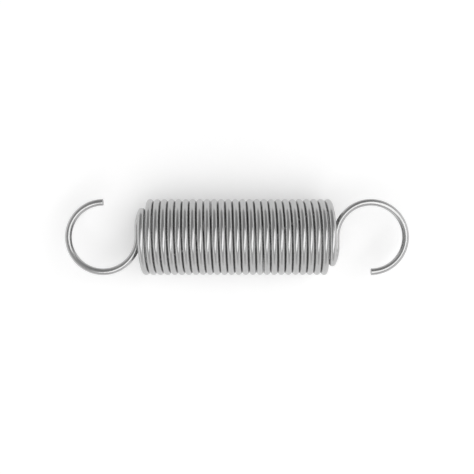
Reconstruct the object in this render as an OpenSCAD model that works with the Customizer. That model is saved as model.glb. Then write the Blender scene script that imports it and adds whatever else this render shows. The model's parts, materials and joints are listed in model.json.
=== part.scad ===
// Extension spring: one round wire, coiled right-handed, with a full open hook at each end.
// The coil's axis is X, and the hooks lie flat in the XY plane, at the height of the axis.
// The part looks the same after half a turn about Z, so the right end is the left end turned round.
// The wire is cut into sections, so that the turns can slide apart when the spring is stretched.

/* [Wire] */
// Diameter of the wire
wire_d = 2.03; // [1.5:0.01:2.05]

/* [Coil] */
// Mean diameter of the coil, from wire centre to wire centre
coil_mean_d = 20.5; // [18:0.5:26]
// Distance from one turn to the next
pitch = 2.09; // [2.07:0.01:2.6]

/* [Hooks] */
// Mean diameter of each hook
hook_mean_d = 20.5; // [18:0.5:26]
// How far round its circle a hook goes, in degrees
hook_arc = 270; // [200:5:300]
// Angle above the horizontal at which the neck leaves the coil's circle, in degrees
neck_leave_angle = 60; // [45:1:75]

/* [Hidden] */
turns = 26;
COILS = [for (i = [1 : turns]) str("coil_", i < 10 ? "0" : "", i)];

wire_r = wire_d / 2;
coil_r = coil_mean_d / 2;
hook_r = hook_mean_d / 2;
coil_length = turns * pitch;

// The last crest of the coil, and the hook's base one pitch beyond it, both at Y = 0
end_crest_x = -coil_length / 2;
hook_base_x = end_crest_x - pitch;

// The neck folds down from the coil's circle in one tighter arc, which ends level with the axis
fold_r = coil_r * sin(neck_leave_angle) / (1 + sin(neck_leave_angle));
fold_y = (coil_r - fold_r) * cos(neck_leave_angle);
fold_angle = 90 + neck_leave_angle;

// By this angle, counted up from the start of the fold, the neck has come over into the plane of
// the coil's next half turn
shift_end = 100;

neck_steps = 36;
wire_sides = 20;
round_fn = 48;

wire_colour = [0.72, 0.72, 0.73];
hook_colour = [0.66, 0.67, 0.69];

// Rises smoothly from 0 to 1 as t goes from 0 to 1
function ease(t) = let (u = min(max(t, 0), 1)) u * u * (3 - 2 * u);

// Centre of the wire along the neck, for a = 0 to fold_angle round the fold, and from there
// to 180 round the coil's circle, up to its last crest
function fold_yz(a) = [fold_y + fold_r * sin(a), fold_r - fold_r * cos(a)];
function coil_yz(a) = [coil_r * cos(a - 90), coil_r * sin(a - 90)];
function neck_yz(a) = a < fold_angle ? fold_yz(a) : coil_yz(a);

// That plane leans, so it lies 3/4 of a pitch from the hook's base at Z = 0 and a pitch at the crest
function neck_x(a, z) = hook_base_x + pitch * ease(a / shift_end) * (3 + z / coil_r) / 4;
function neck_point(a) = let (yz = neck_yz(a)) [neck_x(a, yz[1]), yz[0], yz[1]];

// From the hook's base straight along Y to the fold, and then up to the crest
neck_path = concat(
    [[hook_base_x, 0, 0]],
    [for (i = [0 : neck_steps]) neck_point(180 * i / neck_steps)]
);

function unit(v) = v / norm(v);

// Direction of the wire at point i. It lies along Y at both ends, so the end faces are square to Y.
function heading(path, i) =
    i == 0 ? [0, 1, 0] :
    i == len(path) - 1 ? [0, -1, 0] :
    unit(path[i + 1] - path[i - 1]);

// A round tube along a path, with a ring of points square to the wire at every point
module swept_wire(path, radius, sides) {
    count = len(path);
    points = [
        for (i = [0 : count - 1])
        let (
            along = heading(path, i),
            side = unit([1, 0, 0] - along * along.x),
            up = cross(along, side)
        )
        for (j = [0 : sides - 1])
        path[i] + radius * (cos(360 * j / sides) * side + sin(360 * j / sides) * up)
    ];
    walls = [
        for (i = [0 : count - 2], j = [0 : sides - 1])
        let (k = (j + 1) % sides, a = i * sides, b = a + sides)
        [a + j, a + k, b + k, b + j]
    ];
    start_cap = [for (j = [sides - 1 : -1 : 0]) j];
    end_cap = [for (j = [0 : sides - 1]) (count - 1) * sides + j];
    polyhedron(points, concat([start_cap], walls, [end_cap]), convexity = 6);
}

// An arc of wire in the XY plane, about the origin
module wire_arc(radius, start, angle) {
    rotate([0, 0, start])
    rotate_extrude(angle = angle, $fn = round_fn * 2)
    translate([radius, 0])
    circle(r = wire_r, $fn = round_fn);
}

// Half a turn on one side of the coil, up from its bottom at the origin to a crest half a pitch
// away: side = 1 for +Y and along +X, -1 for -Y and along -X. Its plane leans about Y, so both its
// ends lie square to Y.
module half_turn(side) {
    rise = pitch / 2;
    lean = atan(rise / coil_mean_d);
    lean_r = coil_r / cos(lean);
    rotate([0, side * lean, 0])
    translate([0, 0, lean_r])
    rotate([0, -90, 0])
    wire_arc(lean_r, side > 0 ? 0 : 180, 180);
}

// One turn, from the crest at its left to the crest at its right
module turn(number) {
    bottom_x = (number - (turns + 1) / 2) * pitch;
    color(wire_colour)
    translate([bottom_x, 0, -coil_r]) {
        half_turn(-1);
        half_turn(1);
    }
}

module left_hook() {
    color(hook_colour)
    translate([hook_base_x - hook_r, 0, 0])
    wire_arc(hook_r, -hook_arc, hook_arc);
}

module left_neck() {
    color(wire_colour)
    swept_wire(neck_path, wire_r, wire_sides);
}

module right_hook() {
    rotate([0, 0, 180]) left_hook();
}

module right_neck() {
    rotate([0, 0, 180]) left_neck();
}

left_hook();
left_neck();
for (i = [1 : turns]) turn(i);
right_neck();
right_hook();
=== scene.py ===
"""Extension spring with a full hook at each end, in bright drawn steel wire, lying on a pale floor."""

import json
import math

import bpy
import numpy as np
from mathutils import Matrix, Vector


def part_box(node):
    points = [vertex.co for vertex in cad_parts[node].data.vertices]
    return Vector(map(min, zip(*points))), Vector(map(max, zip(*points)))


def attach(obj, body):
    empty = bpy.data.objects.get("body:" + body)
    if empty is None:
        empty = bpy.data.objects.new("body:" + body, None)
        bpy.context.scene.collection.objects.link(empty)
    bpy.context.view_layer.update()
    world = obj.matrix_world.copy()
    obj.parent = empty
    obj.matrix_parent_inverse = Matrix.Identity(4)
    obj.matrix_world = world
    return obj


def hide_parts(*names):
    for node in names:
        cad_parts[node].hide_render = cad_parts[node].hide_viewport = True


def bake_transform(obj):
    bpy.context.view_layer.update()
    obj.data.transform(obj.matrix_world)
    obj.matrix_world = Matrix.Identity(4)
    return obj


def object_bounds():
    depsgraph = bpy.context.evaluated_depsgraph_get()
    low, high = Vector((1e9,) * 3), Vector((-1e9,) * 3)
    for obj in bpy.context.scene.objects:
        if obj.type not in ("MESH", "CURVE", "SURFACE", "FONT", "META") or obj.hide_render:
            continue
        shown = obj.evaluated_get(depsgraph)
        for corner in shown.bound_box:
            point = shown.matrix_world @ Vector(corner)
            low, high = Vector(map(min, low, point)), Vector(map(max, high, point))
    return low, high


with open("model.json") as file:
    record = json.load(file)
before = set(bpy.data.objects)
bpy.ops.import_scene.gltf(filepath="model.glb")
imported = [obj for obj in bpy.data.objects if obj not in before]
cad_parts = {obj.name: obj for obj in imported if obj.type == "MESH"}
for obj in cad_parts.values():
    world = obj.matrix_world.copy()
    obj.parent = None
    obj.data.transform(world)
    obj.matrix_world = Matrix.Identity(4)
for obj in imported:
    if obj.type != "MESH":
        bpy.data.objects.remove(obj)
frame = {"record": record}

CAD_BOX = [list(corner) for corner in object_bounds()]
MM = 0.001

# ---------------------------------------------------------------- dimensions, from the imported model


def measured(metres, step=0.005):
    """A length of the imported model, to the nearest 0.005 mm, in metres."""
    return round(metres / MM / step) * step * MM


NODES = [part["node"] for part in frame["record"]["subparts"]]
COILS = sorted(name for name in NODES if name.startswith("coil_"))
TURNS = len(COILS)
HOOK_LOW, HOOK_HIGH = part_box("left_hook")
FIRST_LOW, FIRST_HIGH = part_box(COILS[0])
LAST_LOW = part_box(COILS[-1])[0]

WIRE_R = measured(HOOK_HIGH.z)
HOOK_R = measured(HOOK_HIGH.y) - WIRE_R
COIL_R = measured(FIRST_HIGH.z) - WIRE_R
PITCH = measured((LAST_LOW.x - FIRST_LOW.x) / (TURNS - 1))
HOOK_BASE_X = measured(HOOK_LOW.x) + 2 * HOOK_R + WIRE_R
END_CREST_X = HOOK_BASE_X + PITCH
HOOK_ARC = math.radians(270)

# The neck folds down from the coil's circle in one tighter arc, which ends level with the axis
NECK_LEAVE = math.radians(60)  # above the horizontal, where the neck leaves the coil's circle
FOLD_R = COIL_R * math.sin(NECK_LEAVE) / (1 + math.sin(NECK_LEAVE))
FOLD_Y = (COIL_R - FOLD_R) * math.cos(NECK_LEAVE)
FOLD_ANGLE = math.pi / 2 + NECK_LEAVE

# How far up the neck it has come over beside the coil, and where it starts to take the coil's slope
SHIFT_END = math.radians(110)
RISE_START = math.radians(75)

# The cut ends of the wire
BEVEL = 0.09 * WIRE_R
BEVEL_STEPS = 4
CUT_INNER_R = 0.45 * WIRE_R

# How finely the wire is drawn
SIDES = 32
RINGS_PER_TURN = 96
NECK_RINGS = 60

# ---------------------------------------------------------------- camera

LENS_MM, SENSOR_MM = 59.34, 36
CAMERA_HEIGHT = 0.2307  # above the spring's axis


def make_camera():
    data = bpy.data.cameras.new("camera")
    data.lens = LENS_MM
    data.sensor_width = SENSOR_MM
    data.clip_start = 0.01
    data.clip_end = 20
    camera = bpy.data.objects.new("camera", data)
    camera.location = (0, 0, CAMERA_HEIGHT)
    bpy.context.scene.collection.objects.link(camera)
    bpy.context.scene.camera = camera


make_camera()

# ---------------------------------------------------------------- the wire's centre line


def ease(t):
    """Rises smoothly from 0 to 1 as t goes from 0 to 1."""
    u = min(max(t, 0.0), 1.0)
    return u * u * (3 - 2 * u)


def hook_points():
    """From the free end round to the hook's base, where the wire heads along +Y."""
    count = round(RINGS_PER_TURN * HOOK_ARC / (2 * math.pi))
    centre_x = HOOK_BASE_X - HOOK_R
    points = []
    for i in range(count + 1):
        a = -HOOK_ARC * (1 - i / count)
        points.append((centre_x + HOOK_R * math.cos(a), HOOK_R * math.sin(a), 0))
    return points


def neck_points():
    """From the hook's base round the fold and up onto the coil's circle, to its last crest."""
    slope = PITCH / (2 * math.pi)
    run = math.pi - RISE_START
    lead = slope * run / 2
    points = []
    for i in range(NECK_RINGS + 1):
        a = math.pi * i / NECK_RINGS
        x = HOOK_BASE_X + (PITCH - lead) * ease(a / SHIFT_END)
        x += slope * max(a - RISE_START, 0) ** 2 / (2 * run)
        if a < FOLD_ANGLE:
            y = FOLD_Y + FOLD_R * math.sin(a)
            z = FOLD_R - FOLD_R * math.cos(a)
        else:
            y = COIL_R * math.cos(a - math.pi / 2)
            z = COIL_R * math.sin(a - math.pi / 2)
        points.append((x, y, z))
    return [(HOOK_BASE_X, 0, 0), (HOOK_BASE_X, FOLD_Y / 2, 0)] + points


def coil_points():
    """The helix from its first crest to its last."""
    points = []
    for i in range(TURNS * RINGS_PER_TURN + 1):
        turn = i / RINGS_PER_TURN
        a = math.pi / 2 + 2 * math.pi * turn
        x = END_CREST_X + PITCH * turn
        points.append((x, COIL_R * math.cos(a), COIL_R * math.sin(a)))
    return points


def turned(points):
    """The same points half a turn round Z, in the opposite order."""
    return [(-x, -y, z) for x, y, z in reversed(points)]


def joined(*runs):
    """One line of points, and where each run starts and ends in it."""
    line, spans = [], []
    for run in runs:
        start = max(len(line) - 1, 0)
        line += run if not line else run[1:]
        spans.append((start, len(line) - 1))
    return np.array(line), spans


LINE, SPANS = joined(
    hook_points(), neck_points(), coil_points(), turned(neck_points()), turned(hook_points())
)
LEFT_HOOK, LEFT_NECK, COIL, RIGHT_NECK, RIGHT_HOOK = SPANS


def unit(v):
    return v / np.linalg.norm(v, axis=-1, keepdims=True)


def frames_along(line):
    """Tangents, and a pair of cross axes carried along without twisting."""
    tangents = np.gradient(line, axis=0)
    tangents[0] = line[1] - line[0]
    tangents[-1] = line[-1] - line[-2]
    tangents = unit(tangents)
    across = [unit(np.cross(tangents[0], (0, 0, 1.0)))]
    for i in range(1, len(line)):
        across.append(unit(across[-1] - tangents[i] * (across[-1] @ tangents[i])))
    across = np.array(across)
    return tangents, across, np.cross(tangents, across)


TANGENTS, ACROSS, UPRIGHT = frames_along(LINE)
LENGTHS = np.concatenate([[0], np.cumsum(np.linalg.norm(np.diff(LINE, axis=0), axis=1))])

# ---------------------------------------------------------------- materials


class Nodes:
    """A short way to build a node tree. A value may be a number or another node's socket."""

    def __init__(self, tree):
        self.tree = tree

    def put(self, socket, value):
        if isinstance(value, bpy.types.NodeSocket):
            self.tree.links.new(value, socket)
        else:
            socket.default_value = value

    def add(self, kind, inputs=(), **settings):
        node = self.tree.nodes.new(kind)
        for key, value in settings.items():
            setattr(node, key, value)
        for socket, value in dict(inputs).items():
            self.put(node.inputs[socket], value)
        return node

    def maths(self, operation, *values):
        return self.add("ShaderNodeMath", dict(enumerate(values)), operation=operation).outputs[0]

    def noise(self, vector, scale, detail, roughness):
        inputs = {"Vector": vector, "Scale": scale, "Detail": detail, "Roughness": roughness}
        return self.add("ShaderNodeTexNoise", inputs).outputs["Fac"]

    def remap(self, value, span, to):
        """Value, moved from one span of numbers to another, and kept inside it."""
        names = ("Value", "From Min", "From Max", "To Min", "To Max")
        inputs = dict(zip(names, (value, *span, *to)))
        return self.add("ShaderNodeMapRange", inputs).outputs["Result"]

    def grey(self, shade):
        inputs = {"Red": shade, "Green": shade, "Blue": shade}
        return self.add("ShaderNodeCombineColor", inputs).outputs["Color"]

    def bump(self, height, strength, distance):
        inputs = {"Height": height, "Strength": strength, "Distance": distance}
        return self.add("ShaderNodeBump", inputs).outputs["Normal"]


NOISE_SPAN = (0.3, 0.7)  # where nearly all of a noise texture's values lie


def new_material(name):
    material = bpy.data.materials.new(name)
    material.use_nodes = True
    return material, Nodes(material.node_tree)


def set_shader(n, **values):
    """Sets the shader's sockets. In a socket's name, an underscore stands for a space."""
    shader = n.tree.nodes["Principled BSDF"]
    for name, value in values.items():
        n.put(shader.inputs[name.replace("_", " ")], value)


def wire_coordinates(n, stretch):
    """Around the wire, and along it in millimetres, with the length shrunk by stretch."""
    uv = n.add("ShaderNodeUVMap", uv_map="wire").outputs["UV"]
    parts = n.add("ShaderNodeSeparateXYZ", {"Vector": uv})
    angle = n.maths("MULTIPLY", parts.outputs["Y"], 2 * math.pi)
    across = n.maths("COSINE", angle)
    upright = n.maths("SINE", angle)
    along = n.maths("MULTIPLY", parts.outputs["X"], 1 / stretch)
    return n.add("ShaderNodeCombineXYZ", {"X": along, "Y": across, "Z": upright}).outputs["Vector"]


def drawn_steel():
    """Bright steel, with fine lines along the wire from the die, and soft smears."""
    material, n = new_material("drawn_steel")
    lines = n.noise(wire_coordinates(n, 60), 9, 3.0, 0.6)
    smears = n.noise(wire_coordinates(n, 4), 0.7, 3.0, 0.55)
    base = n.remap(smears, NOISE_SPAN, (0.22, 0.26))
    rough = n.remap(lines, NOISE_SPAN, (-0.02, 0.02))
    set_shader(
        n,
        Base_Color=n.grey(n.remap(smears, NOISE_SPAN, (0.46, 0.50))),
        Metallic=1.0,
        Roughness=n.maths("ADD", rough, base),
        Normal=n.bump(lines, 0.05, 0.00003),
    )
    return material


def sheared_steel():
    """The grainy, duller steel of a cut end."""
    material, n = new_material("sheared_steel")
    place = n.add("ShaderNodeNewGeometry").outputs["Position"]
    grain = n.noise(place, 9000, 3.0, 0.6)
    set_shader(
        n,
        Base_Color=n.grey(n.remap(grain, NOISE_SPAN, (0.42, 0.58))),
        Metallic=1.0,
        Roughness=n.remap(grain, NOISE_SPAN, (0.3, 0.5)),
        Normal=n.bump(grain, 0.3, 0.00005),
    )
    return material


DRAWN = drawn_steel()
SHEARED = sheared_steel()

# ---------------------------------------------------------------- pieces of wire

RING_ANGLES = [2 * math.pi * k / SIDES for k in range(SIDES)]
RING_CIRCLE = [(math.cos(a), math.sin(a)) for a in RING_ANGLES]


def outward(i, k):
    """The direction straight out of the wire at line point i and side k."""
    return RING_CIRCLE[k][0] * ACROSS[i] + RING_CIRCLE[k][1] * UPRIGHT[i]


def ring_at(i, radius=WIRE_R, push=0.0):
    """A ring of points round the wire at line point i, pushed along the wire."""
    centre = LINE[i] + TANGENTS[i] * push
    return [centre + radius * outward(i, k) for k in range(SIDES)]


def cut_rings(i, inwards):
    """The rings of a sheared end at line point i: two across its face, and then the bevel's."""
    rings = [(ring_at(i, radius), LENGTHS[i], True) for radius in (CUT_INNER_R, WIRE_R - BEVEL)]
    for k in range(1, BEVEL_STEPS + 1):
        t = math.pi / 2 * k / BEVEL_STEPS
        ring = ring_at(i, WIRE_R - BEVEL * (1 - math.sin(t)), inwards * BEVEL * (1 - math.cos(t)))
        rings.append((ring, LENGTHS[i], False))
    return rings


def tube_faces(rings, cut_start, cut_end):
    """Vertices, faces, each corner's place on the wire, and which faces are part of a cut."""
    vertices = [point for ring, _, _ in rings for point in ring]
    faces, uvs, on_cut = [], [], []
    for r in range(len(rings) - 1):
        u0, u1 = rings[r][1] / MM, rings[r + 1][1] / MM
        a, b = r * SIDES, (r + 1) * SIDES
        for k in range(SIDES):
            n = (k + 1) % SIDES
            v0, v1 = k / SIDES, (k + 1) / SIDES
            faces.append((a + k, a + n, b + n, b + k))
            uvs += [(u0, v0), (u0, v1), (u1, v1), (u1, v0)]
            on_cut.append(rings[r][2] and rings[r + 1][2])
    for r, cut in ((0, cut_start), (len(rings) - 1, cut_end)):
        centre = len(vertices)
        vertices.append(np.mean(rings[r][0], axis=0))
        u = rings[r][1] / MM
        for k in range(SIDES):
            here, after = r * SIDES + k, r * SIDES + (k + 1) % SIDES
            faces.append((centre, after, here) if r == 0 else (centre, here, after))
            uvs += [(u, (k + 0.5) / SIDES), (u, (k + 1) / SIDES), (u, k / SIDES)]
            on_cut.append(cut)
    return vertices, faces, uvs, on_cut


def set_normals(mesh, body, offset):
    """Exact normals on the rings of the wire's round surface, so that pieces meet without a seam."""
    normals = [tuple(corner.vector) for corner in mesh.corner_normals]
    for polygon in mesh.polygons:
        for corner, vertex in zip(polygon.loop_indices, polygon.vertices):
            r, k = divmod(vertex, SIDES)
            if polygon.loop_total == 3:
                normals[corner] = tuple(polygon.normal)
            elif r in body:
                normals[corner] = tuple(outward(r + offset, k))
    mesh.normals_split_custom_set(normals)


def wire_piece(name, start, end, cut_start=False, cut_end=False):
    """A closed tube from line point start to line point end. A cut end is a free end of the wire."""
    head = cut_rings(start, 1) if cut_start else []
    tail = cut_rings(end, -1)[::-1] if cut_end else []
    first = start + 1 if cut_start else start
    last = end - 1 if cut_end else end
    middle = [(ring_at(i), LENGTHS[i], False) for i in range(first, last + 1)]
    vertices, faces, uvs, on_cut = tube_faces(head + middle + tail, cut_start, cut_end)

    mesh = bpy.data.meshes.new(name)
    mesh.from_pydata([tuple(map(float, v)) for v in vertices], [], faces)
    layer = mesh.uv_layers.new(name="wire")
    layer.data.foreach_set("uv", np.array(uvs, np.float32).ravel())
    mesh.materials.append(DRAWN)
    if cut_start or cut_end:
        mesh.materials.append(SHEARED)
    for polygon, cut in zip(mesh.polygons, on_cut):
        polygon.use_smooth = True
        polygon.material_index = 1 if cut else 0
    set_normals(mesh, range(len(head), len(head) + len(middle)), first - len(head))

    piece = bpy.data.objects.new(name, mesh)
    bpy.context.scene.collection.objects.link(piece)
    return piece


def end_piece(name, span, body, node, cut_start=False, cut_end=False):
    piece = wire_piece(name, *span, cut_start, cut_end)
    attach(piece, body)
    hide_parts(node)


end_piece("left_hook_wire", LEFT_HOOK, "left_end", "left_hook", cut_start=True)
end_piece("left_neck_wire", LEFT_NECK, "left_end", "left_neck")
end_piece("right_neck_wire", RIGHT_NECK, "right_end", "right_neck")
end_piece("right_hook_wire", RIGHT_HOOK, "right_end", "right_hook", cut_end=True)


def first_half_turn(share):
    """How far the coil's first half turn has opened, at each share of its length from the neck."""
    return 2 * share**2 - share**3


def coil_piece(number):
    """Coil wire from one bottom of the helix to the next, or from the end crest to the nearest bottom."""
    half = RINGS_PER_TURN // 2
    start = COIL[0] + max(number * RINGS_PER_TURN - half, 0)
    end = min(COIL[0] + number * RINGS_PER_TURN + half, COIL[1])
    piece = wire_piece(f"coil_wire_{number:02d}", start, end)
    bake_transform(piece)
    # Each ring's share of the piece's length, eased over the coil's first and last half turns; nothing
    # uses it further
    share = np.linspace(0, 1, end - start + 1)
    if number == 0:
        share = first_half_turn(share)
    elif number == TURNS:
        share = 1 - first_half_turn(1 - share)
    covered = [name for name in (f"coil_{number:02d}", f"coil_{number + 1:02d}") if name in COILS]
    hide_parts(*covered)


for number in range(TURNS + 1):
    coil_piece(number)

# ---------------------------------------------------------------- floor, light

FLOOR_HALF = 6.0
FLOOR_SHADE = 0.97
FLOOR_GLOW = 0.22
SKY_LIGHT, SKY_LEAN, SKY_CAP = 0.53, 0.21, 1.5
WALL_LIGHT, WALL_TOP, WALL_FADE = 1.45, 0.6, 0.25
HAZE_LIGHT, HAZE_TOP = 0.25, 0.8


def make_floor():
    """A large sheet of white acrylic, lit a little from below."""
    material, n = new_material("floor")
    set_shader(
        n,
        Base_Color=(FLOOR_SHADE, FLOOR_SHADE, FLOOR_SHADE, 1),
        Roughness=0.9,
        Specular_IOR_Level=0.0,
        Emission_Color=(1, 1, 1, 1),
        Emission_Strength=FLOOR_GLOW,
    )
    mesh = bpy.data.meshes.new("floor")
    signs = ((-1, -1), (1, -1), (1, 1), (-1, 1))
    corners = [(x * FLOOR_HALF, y * FLOOR_HALF, CAD_BOX[0][2]) for x, y in signs]
    mesh.from_pydata(corners, [], [(0, 1, 2, 3)])
    mesh.materials.append(material)
    floor = bpy.data.objects.new("floor", mesh)
    bpy.context.scene.collection.objects.link(floor)


def make_softbox(direction, distance, width, height, roll, radiance):
    """A soft rectangular light that faces the object, with its width turned by roll from +X."""
    data = bpy.data.lights.new("softbox", "AREA")
    data.shape = "RECTANGLE"
    data.size = width
    data.size_y = height
    data.energy = radiance * math.pi * width * height
    light = bpy.data.objects.new("softbox", data)
    back = Vector(direction).normalized()
    level = Vector((math.cos(roll), math.sin(roll), 0))
    along = (level - back * level.dot(back)).normalized()
    turn = Matrix((along, back.cross(along), back)).transposed()
    light.matrix_world = Matrix.Translation(back * distance) @ turn.to_4x4()
    bpy.context.scene.collection.objects.link(light)


def make_sky():
    """A pale studio, brighter in front and towards the horizon, with white walls low at both sides."""
    world = bpy.data.worlds.new("studio")
    bpy.context.scene.world = world
    world.use_nodes = True
    world.node_tree.nodes.clear()
    n = Nodes(world.node_tree)
    direction = n.add("ShaderNodeTexCoord").outputs["Generated"]
    x, y, z = n.add("ShaderNodeSeparateXYZ", {"Vector": direction}).outputs
    low = n.remap(z, (WALL_TOP, WALL_TOP - WALL_FADE), (0, 1))
    walls = n.maths("MULTIPLY", n.maths("MULTIPLY", n.maths("MULTIPLY", x, x), WALL_LIGHT), low)
    haze = n.maths("POWER", n.remap(z, (HAZE_TOP, 0.0), (0, 1)), 2.0)
    overhead = n.maths("MULTIPLY_ADD", y, -SKY_LEAN, SKY_LIGHT)
    overhead = n.maths("MULTIPLY_ADD", haze, HAZE_LIGHT, overhead)
    total = n.maths("MINIMUM", n.maths("ADD", overhead, walls), SKY_CAP)
    background = n.add("ShaderNodeBackground", {"Strength": total})
    n.add("ShaderNodeOutputWorld", {"Surface": background.outputs[0]})


make_floor()
make_sky()
make_softbox(
    direction=(0.28, -0.19, 0.93), distance=0.7, width=1.07, height=0.44,
    roll=math.radians(49), radiance=1.62,
)
bpy.context.scene.view_settings.view_transform = "Standard"
